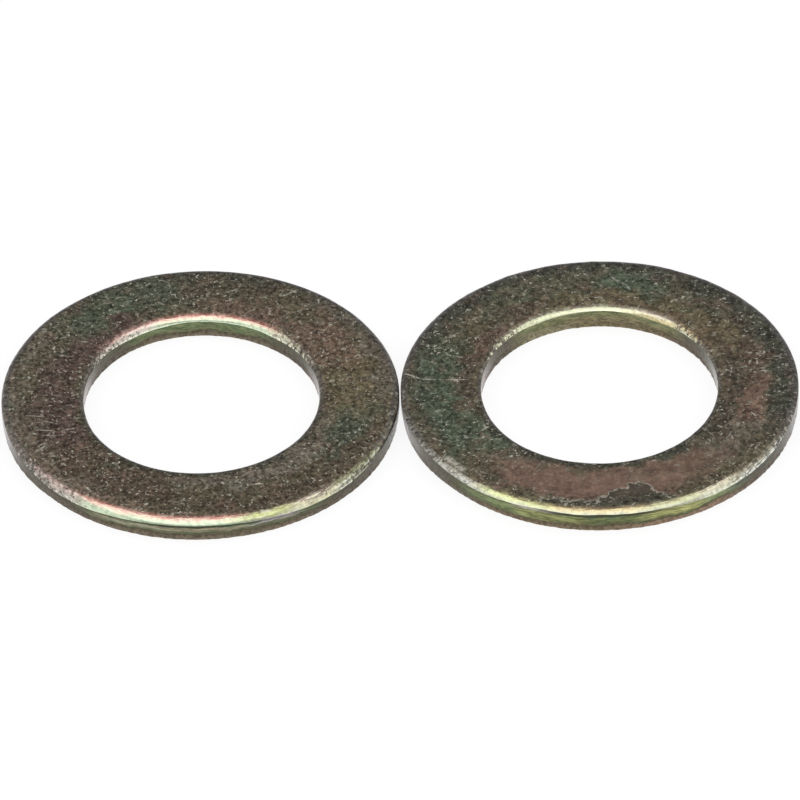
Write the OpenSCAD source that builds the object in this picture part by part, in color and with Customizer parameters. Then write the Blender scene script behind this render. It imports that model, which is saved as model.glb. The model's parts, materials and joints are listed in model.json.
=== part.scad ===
// A pair of flat washers, stamped from steel strip and lying side by side on one face.
//
// Each washer is a single solid of revolution. A compound die cuts the rim and the bore in one
// stroke, so both edges carry the same marks in the same order from the upper face down:
// a shoulder that the die rolled over, a straight burnished land, and a broken zone that
// slopes back into the metal. The two washers come from one size of die in different states
// of wear, so their shoulders differ and every other dimension is shared.
//
// Origin: on the surface the washers lie on, midway between them. +X runs from the left
// washer to the right one, +Z is up through the rolled face.

/* [Washer] */
// Outside diameter of the rim at its burnished land
outside_d = 31.75; // [24:0.05:60]
// Diameter of the bore at its burnished land
bore_d = 19.1; // [5:0.05:28]
// Thickness of the strip
thickness = 1.9; // [1.3:0.05:6]

/* [Sheared wall] */
// Height of the broken zone above the lower face
break_h = 0.65; // [0.1:0.01:1.2]
// How far the broken zone slopes back by the lower face
break_back = 0.13; // [0.02:0.01:0.4]

/* [Left washer shoulders] */
// Width of the rolled shoulder round the rim
left_rim_roll_w = 0.56; // [0.2:0.01:0.62]
// Radius that the rim's shoulder rolls over at, never less than its width
left_rim_roll_r = 0.62; // [0.56:0.01:4]
// Width of the rolled shoulder round the bore
left_bore_roll_w = 0.40; // [0.2:0.01:0.41]
// Radius that the bore's shoulder rolls over at, never less than its width
left_bore_roll_r = 0.41; // [0.4:0.01:4]

/* [Right washer shoulders] */
// Width of the rolled shoulder round the rim
right_rim_roll_w = 0.53; // [0.2:0.01:0.75]
// Radius that the rim's shoulder rolls over at, never less than its width
right_rim_roll_r = 0.75; // [0.53:0.01:4]
// Width of the rolled shoulder round the bore
right_bore_roll_w = 0.32; // [0.15:0.01:0.36]
// Radius that the bore's shoulder rolls over at, never less than its width
right_bore_roll_r = 0.36; // [0.32:0.01:4]

/* [Placing] */
// Clear gap between the two rims
rim_gap = 0.1; // [0.05:0.05:20]

/* [Hidden] */

outside_r = outside_d / 2;
bore_r = bore_d / 2;
washer_x = outside_r + rim_gap / 2; // each washer's axis from the origin
past = 0.5; // how far a cutter runs past the metal
yellow_zinc = [0.42, 0.38, 0.29];
$fn = 180;

// Half section of the sheared ring before its shoulders: straight land above, broken zone
// below. The rim's broken zone slopes in towards the axis and the bore's slopes out from it.
module sheared_section() {
    polygon([
        [bore_r + break_back, 0],
        [outside_r - break_back, 0],
        [outside_r, break_h],
        [outside_r, thickness],
        [bore_r, thickness],
        [bore_r, break_h],
    ]);
}

// What the die roll takes off an upper corner, for a corner at x = 0 with its metal on the
// left. The arc is level where it leaves the face, and it meets the wall in a crease.
module roll_cutter(w, r) {
    difference() {
        translate([-w, thickness - r])
            square([w + past, r + past]);
        translate([-w, thickness - r])
            circle(r = r);
    }
}

// A finished washer. Each shoulder is given as [width, radius].
module stamped_washer(rim_roll, bore_roll) {
    color(yellow_zinc)
        rotate_extrude()
            difference() {
                sheared_section();
                translate([outside_r, 0])
                    roll_cutter(rim_roll[0], rim_roll[1]);
                translate([bore_r, 0])
                    mirror([1, 0])
                        roll_cutter(bore_roll[0], bore_roll[1]);
            }
}

module left_washer() {
    translate([-washer_x, 0, 0])
        stamped_washer(
            [left_rim_roll_w, left_rim_roll_r],
            [left_bore_roll_w, left_bore_roll_r]
        );
}

module right_washer() {
    translate([washer_x, 0, 0])
        stamped_washer(
            [right_rim_roll_w, right_rim_roll_r],
            [right_bore_roll_w, right_bore_roll_r]
        );
}

left_washer();
right_washer();
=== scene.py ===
# %% [markdown]
# # A pair of stamped flat washers
# Two steel washers lie side by side on a white table. Each was punched from strip in one stroke,
# plated with zinc and dipped in yellow chromate, which has aged to a dark, iridescent olive-brown.
# A washer looks like the simplest shape there is, but all its character is in two places: the
# sheared edge, where the die rolled the corner over before the metal broke, and the thin film of
# colour on top. So the lesson has two halves. First the edge is modelled as real geometry, then
# the film is painted with nodes.

# %% [markdown]
# ## The frame
# The construction comes packed from the CAD step and is only ever read here. It gives the size
# and place of each washer, so nothing below has to be fitted by eye.

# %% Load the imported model
import json
import random
from math import asin, atan2, cos, degrees, pi, radians, sin, sqrt

import bmesh
import bpy
from mathutils import Matrix, Vector, kdtree, noise


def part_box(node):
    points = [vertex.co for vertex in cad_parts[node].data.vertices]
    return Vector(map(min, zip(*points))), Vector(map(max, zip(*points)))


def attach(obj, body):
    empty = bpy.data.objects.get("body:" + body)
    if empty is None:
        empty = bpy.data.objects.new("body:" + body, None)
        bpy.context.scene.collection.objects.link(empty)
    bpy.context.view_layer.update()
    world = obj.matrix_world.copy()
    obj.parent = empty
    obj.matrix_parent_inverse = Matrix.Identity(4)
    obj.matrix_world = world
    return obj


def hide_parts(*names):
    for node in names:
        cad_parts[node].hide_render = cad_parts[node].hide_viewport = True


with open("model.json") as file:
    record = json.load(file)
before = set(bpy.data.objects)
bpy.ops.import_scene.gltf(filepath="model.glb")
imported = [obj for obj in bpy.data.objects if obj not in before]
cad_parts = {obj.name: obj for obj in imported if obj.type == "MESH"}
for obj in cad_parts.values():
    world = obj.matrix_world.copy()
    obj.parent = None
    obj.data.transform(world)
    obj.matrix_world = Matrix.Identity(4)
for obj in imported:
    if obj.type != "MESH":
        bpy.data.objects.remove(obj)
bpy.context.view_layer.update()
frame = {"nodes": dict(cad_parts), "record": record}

MM = 0.001
mounts = {mount["name"]: mount for mount in frame["record"]["mounts"]}
print("nodes:", sorted(frame["nodes"]))

# %% Read each washer's size from the frame, in millimetres


def washer_size(side):
    """Centre, outside radius, bore radius and thickness of the left or the right washer."""
    low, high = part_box(f"{side}_washer")
    return {
        "side": side,
        "centre": (low.x + high.x) / 2 / MM,
        "rim": (high.x - low.x) / 2 / MM,
        "bore": mounts[f"{side}_bore"]["dims"]["r_mm"],
        "top": high.z / MM,
    }


left = washer_size("left")
right = washer_size("right")
print("left washer:", left)
print("right washer:", right)

# %% [markdown]
# ## The camera
# The photograph was taken from far away with a very long lens, so the near and far sides of the
# washers are almost the same size. The camera is made first, because everything after it is
# judged through it. It looks down at just under 40 degrees and leans a little to the left, which
# is why the right washer sits higher in the picture.

# %% Make the camera
LENS_MM = 766.8
LOOK_DOWN = radians(39.68)
LEAN = radians(-1.32)
CAMERA_DISTANCE = 1.361
LOOK_AT = Vector((-0.00001, 0.00094, 0))

camera_data = bpy.data.cameras.new("camera")
camera_data.lens = LENS_MM
camera_data.sensor_width = 36
camera_data.clip_start = 0.01
camera_data.clip_end = 10
camera = bpy.data.objects.new("camera", camera_data)
bpy.context.scene.collection.objects.link(camera)
turn = Matrix.Rotation(pi / 2 - LOOK_DOWN, 4, "X") @ Matrix.Rotation(LEAN, 4, "Z")
away = Vector((0, -cos(LOOK_DOWN), sin(LOOK_DOWN)))
camera.matrix_world = Matrix.Translation(LOOK_AT + away * CAMERA_DISTANCE) @ turn
bpy.context.scene.camera = camera
bpy.context.scene.view_settings.view_transform = "Standard"
print("camera at", [round(value, 3) for value in camera.location])

# %% [markdown]
# ## Node helpers
# Both the light and the finish are node trees. A few small helpers keep them readable: one adds
# any node and links its inputs, and the others are the operations that are used all the time.

# %% Helpers for node trees


def add(tree, kind, inputs=None, **options):
    """Add a node, set its options, and set or link its inputs."""
    made = tree.nodes.new(kind)
    for name, value in options.items():
        setattr(made, name, value)
    for name, value in (inputs or {}).items():
        if isinstance(value, bpy.types.NodeSocket):
            tree.links.new(value, made.inputs[name])
        else:
            made.inputs[name].default_value = value
    return made


def calc(tree, operation, a, b=0.0):
    """One Math node."""
    return add(tree, "ShaderNodeMath", {0: a, 1: b}, operation=operation).outputs[0]


def times(tree, a, b):
    """One number times another."""
    return calc(tree, "MULTIPLY", a, b)


def gap_between(tree, a, b):
    """How far apart two numbers are."""
    return calc(tree, "ABSOLUTE", calc(tree, "SUBTRACT", a, b))


def vector(tree, operation, a, b=(0, 0, 0), output=0):
    """One Vector Math node on two vectors."""
    return add(tree, "ShaderNodeVectorMath", {0: a, 1: b}, operation=operation).outputs[output]


def rise(tree, value, low, high, start=0.0, end=1.0):
    """A smooth step from start, at low, to end, at high."""
    limits = {"Value": value, "From Min": low, "From Max": high, "To Min": start, "To Max": end}
    return add(tree, "ShaderNodeMapRange", limits, interpolation_type="SMOOTHSTEP").outputs[0]


def past(tree, value, line, blur):
    """0 before a line and 1 past it, with a border that is soft by blur to each side."""
    return rise(tree, value, line - blur, line + blur)


# %% [markdown]
# ## The floor and the light
# The floor is a plain white disc, big enough to fill the view from any side. The light is a soft
# studio tent: a bright ceiling above, a little towards the camera, bright panels to the left and
# right, and dimmer walls before and behind. On plated metal the light is also the picture that the
# metal shows. A flat face reflects the dim wall behind it, so it looks dark. The rolled shoulder
# turns through the bright ceiling and, towards the washer's sides, down through a panel, so it
# shines. The strengths are chosen so that together they light the white floor to about white.

# %% Lay the floor
FLOOR_RADIUS = 5.0
# The floor lies a hair below the washers, so that the two surfaces don't share one plane
FLOOR_DROP = 0.00002

floor_shape = bmesh.new()
bmesh.ops.create_circle(floor_shape, cap_ends=True, segments=96, radius=FLOOR_RADIUS)
bmesh.ops.translate(floor_shape, verts=floor_shape.verts, vec=(0, 0, -FLOOR_DROP))
floor_mesh = bpy.data.meshes.new("floor")
floor_shape.to_mesh(floor_mesh)
floor_shape.free()
floor = bpy.data.objects.new("floor", floor_mesh)
bpy.context.scene.collection.objects.link(floor)
print("floor:", FLOOR_RADIUS * 2, "m across")

# %% [markdown]
# The picture has a pure white ground. The floor gets it from its own material: where the camera or
# a polished surface looks at it, part of what is seen is plain white of strength 1, and the rest is
# the lit floor with the washers' shadow on it.

# %% Paint the floor
FLOOR_WHITE = (0.94, 0.94, 0.94, 1)
WHITE_SHARE = 0.86

floor_paint = bpy.data.materials.new("white floor")
floor_paint.use_nodes = True
tree = floor_paint.node_tree
tree.nodes.remove(tree.nodes["Principled BSDF"])
matte = add(tree, "ShaderNodeBsdfDiffuse", {"Color": FLOOR_WHITE})
white = add(tree, "ShaderNodeEmission", {"Color": (1, 1, 1, 1), "Strength": 1.0})
ray = add(tree, "ShaderNodeLightPath")
seen = calc(tree, "MAXIMUM", ray.outputs["Is Camera Ray"], ray.outputs["Is Glossy Ray"])
seen = calc(tree, "MAXIMUM", seen, ray.outputs["Is Transmission Ray"])
share = times(tree, seen, WHITE_SHARE)
mixed = add(tree, "ShaderNodeMixShader", {0: share, 1: matte.outputs[0], 2: white.outputs[0]})
tree.links.new(mixed.outputs[0], tree.nodes["Material Output"].inputs["Surface"])
floor_mesh.materials.append(floor_paint)
print("floor: white share", WHITE_SHARE)

# %% Light the studio
CEILING_LIGHT = 1.5
WALL_LIGHT = 0.42
PANEL_LIGHT = 1.05
# How far to the side a panel starts and is full, as the sideways part of a direction
PANEL_EDGE = (0.42, 0.74)
CEILING_LEAN = radians(18)
# How far from its middle the ceiling's light ends, and from where inwards it is full
CEILING_EDGE = (radians(60), radians(46))

world = bpy.data.worlds.new("studio")
bpy.context.scene.world = world
world.use_nodes = True
studio = world.node_tree
looking = add(studio, "ShaderNodeTexCoord").outputs["Generated"]
ceiling_middle = (0, -sin(CEILING_LEAN), cos(CEILING_LEAN))
towards = vector(studio, "DOT_PRODUCT", looking, ceiling_middle, "Value")
edge_low, edge_high = (cos(angle) for angle in CEILING_EDGE)
ceiling = rise(studio, towards, edge_low, edge_high, WALL_LIGHT, CEILING_LIGHT)
beside = calc(studio, "ABSOLUTE", add(studio, "ShaderNodeSeparateXYZ", {0: looking}).outputs[0])
panels = rise(studio, beside, *PANEL_EDGE, 0.0, PANEL_LIGHT)
light = calc(studio, "MAXIMUM", ceiling, panels)
studio.links.new(light, studio.nodes["Background"].inputs["Strength"])
studio.nodes["Background"].inputs["Color"].default_value = (1, 1, 1, 1)
print("studio: ceiling", CEILING_LIGHT, "panels", PANEL_LIGHT, "walls", WALL_LIGHT)

# %% [markdown]
# ## The section of a sheared edge
# When a punch goes through strip, the upper corner is dragged down and rounds over: that is the
# rolled shoulder. Then the tool shears a straight bright land, and at last the metal breaks and
# leaves a rough wall that slopes back. A compound die cuts rim and bore in the same stroke, so
# both edges show the same three zones from the same side.
#
# The section could be typed as a list of points, but two of its parts are arcs. Here it is drawn
# the way a pen would draw it, starting at the bore's edge of the flat and going round. A straight
# run is one vertex extruded again and again, and an arc is one vertex spun about the arc's centre.
# The many small steps give the surface enough rows for dents later. A number is stored on each
# vertex as it is drawn, the zone: 0 on the flat, 1 at the crease, 2 where the land ends, 3 at the
# lower edge and 4 underneath. Spin copies it round the ring, and the materials read it.

# %% Draw the section
FLAT, CREASE, LAND_END, LOWER_EDGE, UNDERSIDE = 0, 1, 2, 3, 4
# Height of the broken zone and how far it slopes back, in mm like all sizes below
BREAK_H = 0.65
BREAK_BACK = {"rim": 0.06, "bore": 0.03}
# How far from the edges the lower face's own rows start
UNDER_INSET = 0.26
# Width and radius of each rolled shoulder
SHOULDERS = {
    "left": {"rim": (0.56, 0.62), "bore": (0.40, 0.41)},
    "right": {"rim": (0.53, 0.75), "bore": (0.32, 0.36)},
}
# How many rows of faces each stretch gets
ROWS = {"arc": 12, "land": 9, "broken": 8, "flat": 37, "under": 11}
# Points closer than this become one
MERGE = 1e-4


def line_to(section, zone, pen, point, rows, end_zone):
    """Extrude the pen's vertex in even steps to a point. Returns the last vertex."""
    start = pen.co.copy()
    start_zone = pen[zone]
    for row in range(1, rows + 1):
        pen = bmesh.ops.extrude_vert_indiv(section, verts=[pen])["verts"][0]
        pen.co = start.lerp(Vector(point), row / rows)
        pen[zone] = start_zone + (end_zone - start_zone) * row / rows
    return pen


def arc_over(section, zone, pen, centre, angle, end_zone):
    """Spin the pen's vertex clockwise about a centre. Returns the last vertex."""
    rows = ROWS["arc"]
    start_zone = pen[zone]
    bmesh.ops.spin(section, geom=[pen], cent=centre, axis=(0, 1, 0), angle=angle, steps=rows)
    section.verts.ensure_lookup_table()
    drawn = section.verts[-rows:]
    for row, vert in enumerate(drawn, 1):
        vert[zone] = start_zone + (end_zone - start_zone) * row / rows
    return drawn[-1]


def washer_section(size):
    """The whole closed section of one washer, as a ring of edges in the XZ plane."""
    section = bmesh.new()
    zone = section.verts.layers.float.new("zone")
    rim, bore, top = size["rim"], size["bore"], size["top"]
    rim_w, rim_roll = SHOULDERS[size["side"]]["rim"]
    bore_w, bore_roll = SHOULDERS[size["side"]]["bore"]
    bore_crease = top - bore_roll + sqrt(bore_roll ** 2 - bore_w ** 2)

    pen = section.verts.new((bore + bore_w, 0, top))
    pen = line_to(section, zone, pen, (rim - rim_w, 0, top), ROWS["flat"], FLAT)
    roll_centre = (rim - rim_w, 0, top - rim_roll)
    pen = arc_over(section, zone, pen, roll_centre, asin(rim_w / rim_roll), CREASE)
    pen = line_to(section, zone, pen, (rim, 0, BREAK_H), ROWS["land"], LAND_END)
    pen = line_to(section, zone, pen, (rim - BREAK_BACK["rim"], 0, 0), ROWS["broken"], LOWER_EDGE)
    pen = line_to(section, zone, pen, (rim - UNDER_INSET, 0, 0), 1, UNDERSIDE)
    pen = line_to(section, zone, pen, (bore + UNDER_INSET, 0, 0), ROWS["under"], UNDERSIDE)
    pen = line_to(section, zone, pen, (bore + BREAK_BACK["bore"], 0, 0), 1, LOWER_EDGE)
    pen = line_to(section, zone, pen, (bore, 0, BREAK_H), ROWS["broken"], LAND_END)
    pen = line_to(section, zone, pen, (bore, 0, bore_crease), ROWS["land"], CREASE)
    roll_centre = (bore + bore_w, 0, top - bore_roll)
    pen = arc_over(section, zone, pen, roll_centre, asin(bore_w / bore_roll), FLAT)
    bmesh.ops.remove_doubles(section, verts=section.verts, dist=MERGE)
    return section, zone


section, zone = washer_section(left)
print("section of the left washer:", len(section.verts), "points,", len(section.edges), "edges")
section.free()

# %% [markdown]
# ## Spinning the ring
# One more Spin, this time of the whole section about the washer's axis, makes the ring. A Spin
# gets slow when it takes hundreds of steps, because each step looks through everything made so
# far. So the section is spun through one twelfth of a turn only. A second Spin then lays copies of
# that sector round the axis, and the doubled rows where the sectors meet are merged.

# %% Spin the section into a ring
AROUND = 768
SECTORS = 12


def plain_ring(size):
    """A washer's ring as a bmesh on its own axis, in millimetres."""
    ring, zone = washer_section(size)
    axis = {"cent": (0, 0, 0), "axis": (0, 0, 1)}
    sector_angle = 2 * pi / SECTORS
    outline = ring.verts[:] + ring.edges[:]
    bmesh.ops.spin(ring, geom=outline, angle=sector_angle, steps=AROUND // SECTORS, **axis)
    sector = ring.verts[:] + ring.edges[:] + ring.faces[:]
    copies = SECTORS - 1
    copied = {"angle": sector_angle * copies, "steps": copies, "use_duplicate": True}
    bmesh.ops.spin(ring, geom=sector, **copied, **axis)
    bmesh.ops.remove_doubles(ring, verts=ring.verts[:], dist=MERGE)
    bmesh.ops.recalc_face_normals(ring, faces=ring.faces[:])
    return ring, zone


rings = {size["side"]: plain_ring(size) for size in (left, right)}
for side, (ring, zone) in rings.items():
    loose = sum(not edge.is_manifold for edge in ring.edges)
    print(side, "ring:", len(ring.verts), "vertices,", len(ring.faces), "faces,", loose, "open edges")

# %% [markdown]
# ## Relief that catches the light
# A plated washer isn't mathematically exact. The punch never sits quite in the middle of the die,
# so the shoulder is deeper on some sides, and the bore is a little out of round. The flat begins
# to sink just before the shoulder. The crease and the line where the metal broke both wander, the
# broken wall is rough, and loose parts knock small dents into each other in the barrel. All of
# that is moved vertices here, because relief that is real geometry darkens on one side and shines
# on the other from every angle. What is finer than the mesh is left to bump. The noise is a fixed
# function of place, and the dents are drawn from a numbered seed, so that each run makes the same
# washer.
#
# A place on a washer is easiest to name as on a clock: a bearing and a distance from the axis. Here
# bearing 0 points at the camera and 90 to the right.

# %% Let the edges wander
# How far each thing moves, in mm, and the waves of noise that move it: how many to a millimetre, a
# number added to the seed, and the wave's share
CREASE_WANDER = 0.07
CREASE_WAVES = [(0.35, 0, 1.0), (1.6, 7, 0.4)]
BREAK_WANDER = 0.22
BREAK_WAVES = [(0.5, 21, 1.0), (2.6, 29, 0.5)]
BREAK_ROUGHNESS = 0.05
ROUGH_WAVES = [(2.2, 37, 1.0), (5.0, 43, 0.5)]
# How much of the broken zone's height the roughness takes to come in
ROUGH_FADE = 0.25
STRIP_UNEVENNESS = 0.014
STRIP_WAVES = [(0.22, 13, 1.0)]
# How deep the flat sinks before a shoulder, how far before it that starts, and over what width
RUN_IN = 0.05
RUN_IN_START = 0.5
RUN_IN_WIDTH = 0.8
# Bearing and spread in degrees, and how much deeper a shoulder is there, in mm
DEEPER_SHOULDER = {
    "left": {
        "rim": [(-46, 36, 0.38), (42, 34, 0.36), (0, 70, 0.06)],
        "bore": [(-150, 32, 0.20), (138, 38, 0.20)],
    },
    "right": {
        "rim": [(38, 28, 0.38), (58, 16, 0.18), (-37, 20, 0.10), (-19, 14, -0.10), (3, 14, -0.04)],
        "bore": [(-150, 28, 0.10), (144, 36, 0.20)],
    },
}
# Bearing and spread in degrees, and how much further back the rim broke there, in mm
BROKEN_BACK = {"left": [(-48, 18, 0.08)], "right": [(-48, 20, 0.12), (-28, 14, 0.05)]}
# Bearing and spread in degrees, and how much the bore bulges inwards there, in mm
OUT_OF_ROUND = {
    "left": [(-98, 62, 0.24), (90, 40, 0.04)],
    "right": [(-95, 50, 0.09), (90, 50, 0.11)],
}


def wander(point, per_mm, seed):
    """Smooth noise of about -0.5 to 0.5 at a point of the ring."""
    return noise.noise(Vector((point.x * per_mm, point.y * per_mm, point.z * per_mm + seed)))


def along(point, per_mm, seed):
    """The same noise, but alike at every height, so that an edge moves as a whole."""
    return wander(Vector((point.x, point.y, 0)), per_mm, seed)


def waves_at(field, point, waves, seed):
    """Some waves of noise added up. The field is wander or along."""
    return sum(share * field(point, per_mm, seed + more) for per_mm, more, share in waves)


def smooth(share):
    """A share of 0 to 1, eased at both ends."""
    share = min(1, max(0, share))
    return share * share * (3 - 2 * share)


def swell(place, bumps):
    """How much a list of (bearing, spread, amount) adds at a point of the ring."""
    bearing = degrees(atan2(place.x, -place.y))
    gaps = [abs((bearing - middle + 180) % 360 - 180) for middle, _, _ in bumps]
    return sum(amount * smooth(1 - gap / spread) for gap, (_, spread, amount) in zip(gaps, bumps))


def roughen(ring, zone, size, seed):
    """Move the ring's vertices the way shearing and handling leave them."""
    side = size["side"]
    middle = (size["rim"] + size["bore"]) / 2
    rim_edge = size["rim"] - SHOULDERS[side]["rim"][0]
    bore_edge = size["bore"] + SHOULDERS[side]["bore"][0]
    for vert in ring.verts:
        place = vert.co.copy()
        row = vert[zone]
        radius = place.xy.length
        outward = Vector((place.x, place.y, 0)).normalized()
        inward = -outward if radius > middle else outward
        if row < LAND_END:
            crease_share = row ** 2 if row < CREASE else LAND_END - row
            vert.co.z += CREASE_WANDER * crease_share * waves_at(along, place, CREASE_WAVES, seed)
            past_edge = max(radius - rim_edge, bore_edge - radius)
            sink = smooth((past_edge + RUN_IN_START) / RUN_IN_WIDTH) * min(1, LAND_END - row)
            vert.co.z -= RUN_IN * sink
            edge = "rim" if radius > middle else "bore"
            vert.co.z -= swell(place, DEEPER_SHOULDER[side][edge]) * crease_share
        if radius < middle:
            near_bore = smooth(1 - (radius - size["bore"]) / (middle - size["bore"]))
            vert.co -= outward * swell(place, OUT_OF_ROUND[side]) * near_bore
        if row < CREASE:
            unevenness = 0.5 + waves_at(along, place, STRIP_WAVES, seed)
            vert.co.z -= STRIP_UNEVENNESS * (1 - row) * max(0, unevenness)
        if CREASE < row < LOWER_EDGE:
            line_share = 1 - abs(row - LAND_END)
            vert.co.z += BREAK_WANDER * line_share * waves_at(along, place, BREAK_WAVES, seed)
        if LAND_END < row <= LOWER_EDGE:
            depth = 0.5 + waves_at(wander, place, ROUGH_WAVES, seed)
            vert.co += inward * BREAK_ROUGHNESS * max(0, depth) * min(1, (row - LAND_END) / ROUGH_FADE)
            if radius > middle:
                vert.co += inward * swell(place, BROKEN_BACK[side]) * (row - LAND_END)


SEEDS = {"left": 3, "right": 41}
for size in (left, right):
    ring, zone = rings[size["side"]]
    start = [vert.co.copy() for vert in ring.verts]
    roughen(ring, zone, size, SEEDS[size["side"]])
    moved = max((vert.co - before).length for vert, before in zip(ring.verts, start))
    print(size["side"], "washer: largest move of a vertex", round(moved, 3), "mm")

# %% Knock dents into the flat and the shoulders
DENTS = 46
DENT_RADIUS = (0.30, 0.75)
DENT_DEPTH = (0.006, 0.020)
# How far from either edge a dent's middle stays
DENT_MARGIN = 0.2
# Nicks in the rim's shoulder, from the washer's axis, each with its radius and depth, in mm
NICKS = {
    "left": [((4.6, -15.0), 0.30, 0.06), ((5.5, -14.8), 0.28, 0.05), ((9.1, -12.8), 0.26, 0.06)],
    "right": [((3.9, -15.0), 0.34, 0.07), ((-2.6, -15.3), 0.22, 0.04), ((-9.2, -12.4), 0.26, 0.05)],
}
# How far below the upper face a nick's middle lies
NICK_DROP = 0.15


def press(ring, zone, tree, centre, radius, depth):
    """Press one shallow round dent into the upper side. Returns how many vertices went down."""
    pressed = 0
    for _, number, gap in tree.find_range(centre, radius):
        vert = ring.verts[number]
        if vert[zone] < LAND_END:
            vert.co.z -= depth * (1 - (gap / radius) ** 2) ** 2
            pressed += 1
    return pressed


def knock(ring, zone, size, seed):
    """Press dents into the upper side at random places."""
    chance = random.Random(seed)
    ring.verts.ensure_lookup_table()
    tree = kdtree.KDTree(len(ring.verts))
    for number, vert in enumerate(ring.verts):
        tree.insert(vert.co, number)
    tree.balance()
    pressed = 0
    for _ in range(DENTS):
        angle = chance.uniform(0, 2 * pi)
        distance = chance.uniform(size["bore"] + DENT_MARGIN, size["rim"] - DENT_MARGIN)
        centre = Vector((distance * cos(angle), distance * sin(angle), size["top"]))
        radius = chance.uniform(*DENT_RADIUS)
        pressed += press(ring, zone, tree, centre, radius, chance.uniform(*DENT_DEPTH))
    for place, radius, depth in NICKS[size["side"]]:
        pressed += press(ring, zone, tree, Vector((*place, size["top"] - NICK_DROP)), radius, depth)
    return pressed


for size in (left, right):
    ring, zone = rings[size["side"]]
    pressed = knock(ring, zone, size, SEEDS[size["side"]])
    print(size["side"], "washer:", DENTS, "dents and", len(NICKS[size["side"]]), "nicks press",
          pressed, "vertices down")

# %% [markdown]
# ## The yellow chromate finish
# The colour isn't a pigment. The zinc under it is a bright metal, and the chromate film on it is
# so thin that light reflected from its two faces interferes, as on a soap bubble. Where the film
# is thick and scuffed, on the flats, it looks olive-brown. Where the metal was rolled smooth, on
# the shoulder, it goes through rose, cream and mint within half a millimetre.
#
# So every colour here is the colour of a metal's reflection, with Metallic at 1. The finish is
# built from a few questions that the nodes can answer at each point: how far is it from the axis,
# which way round is it, and which zone of the edge is it in. Object coordinates give the first
# two, after a Mapping node has put the washer's own axis at the origin and turned metres into
# millimetres. The zone was stored on the vertices.

# %% Where on the washer a point is
# Over how many millimetres the bore's half of the ring turns into the rim's half
MIDDLE_BLUR = 0.01


def whereabouts(tree, size):
    """Sockets that say where a point lies, in millimetres from the washer's own axis."""
    coords = add(tree, "ShaderNodeTexCoord").outputs["Object"]
    seed = SEEDS[size["side"]]
    placed = {"Vector": coords, "Location": (-size["centre"], 0, seed), "Scale": (1000, 1000, 1000)}
    point = add(tree, "ShaderNodeMapping", placed).outputs[0]
    level = vector(tree, "MULTIPLY", point, (1, 1, 0))
    radius = vector(tree, "LENGTH", level, output="Value")
    zone = add(tree, "ShaderNodeAttribute", attribute_name="zone").outputs["Fac"]
    bearing = vector(tree, "NORMALIZE", level)
    apart = add(tree, "ShaderNodeSeparateXYZ", {0: bearing})
    return {
        "point": point, "level": level, "radius": radius, "zone": zone, "seed": seed,
        "bearing": bearing, "rightward": apart.outputs[0], "away": apart.outputs[1],
        "at_rim": past(tree, radius, (size["rim"] + size["bore"]) / 2, MIDDLE_BLUR),
    }


def grain(tree, where, per_mm, detail=2.0, roughness=0.5, distortion=0.0):
    """Noise of 0 to 1 with features of about 1 / per_mm millimetres."""
    settings = {"Scale": per_mm, "Detail": detail, "Roughness": roughness, "Distortion": distortion}
    return add(tree, "ShaderNodeTexNoise", {"Vector": where, **settings}).outputs["Fac"]


def drift(tree, where, kind, start=0.0, end=1.0):
    """A change from start to end that follows a noise.

    Its kind holds the noise's features per mm, its detail and roughness, and the two of its
    values between which the change runs.
    """
    *settings, low, high = kind
    return rise(tree, grain(tree, where, *settings), low, high, start, end)


def paint(tree, amount, under, over):
    """One colour over another, by an amount of 0 to 1."""
    layers = {0: amount, 6: under, 7: over}
    return add(tree, "ShaderNodeMix", layers, data_type="RGBA").outputs[2]


def between(tree, amount, low, high):
    """One number or the other, by an amount of 0 to 1."""
    return add(tree, "ShaderNodeMix", {0: amount, 2: low, 3: high}).outputs[0]


def lit(tree, colour, light):
    """A colour made brighter or darker."""
    return add(tree, "ShaderNodeVectorMath", {0: colour, "Scale": light}, operation="SCALE").outputs[0]


def film(tree, value, stops):
    """A colour ramp. Each stop is a place in hundredths and its colour in thousandths."""
    ramp = add(tree, "ShaderNodeValToRGB", {0: value})
    elements = ramp.color_ramp.elements
    while len(elements) < len(stops):
        elements.new(0.5)
    for element, (place, *colour) in zip(elements, stops):
        element.position = place / 100
        element.color = (*(part / 1000 for part in colour), 1)
    return ramp.outputs["Color"]


# %% [markdown]
# The helper below marks a patch by its bearing and its distance from the axis. It compares the
# point's own direction with the patch's by a dot product, which unlike an angle doesn't jump from
# 180 to -180 on the far side.

# %% Mark a patch by its bearing
# Where a patch ends and where it is full, as shares of its spread and of its reach
SPREAD_EDGE = (1.3, 0.6)
REACH_EDGE = (1.35, 0.45)


def patch(tree, bearing, across, azimuth, spread, middle, reach):
    """1 inside a patch that spreads so many degrees and reaches so far each way, 0 outside."""
    way = (sin(radians(azimuth)), -cos(radians(azimuth)), 0)
    facing = vector(tree, "DOT_PRODUCT", bearing, way, "Value")
    round_share = rise(tree, facing, *(cos(radians(spread * share)) for share in SPREAD_EDGE))
    gap = gap_between(tree, across, middle)
    across_share = rise(tree, gap, *(reach * share for share in REACH_EDGE))
    return times(tree, round_share, across_share)
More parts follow.
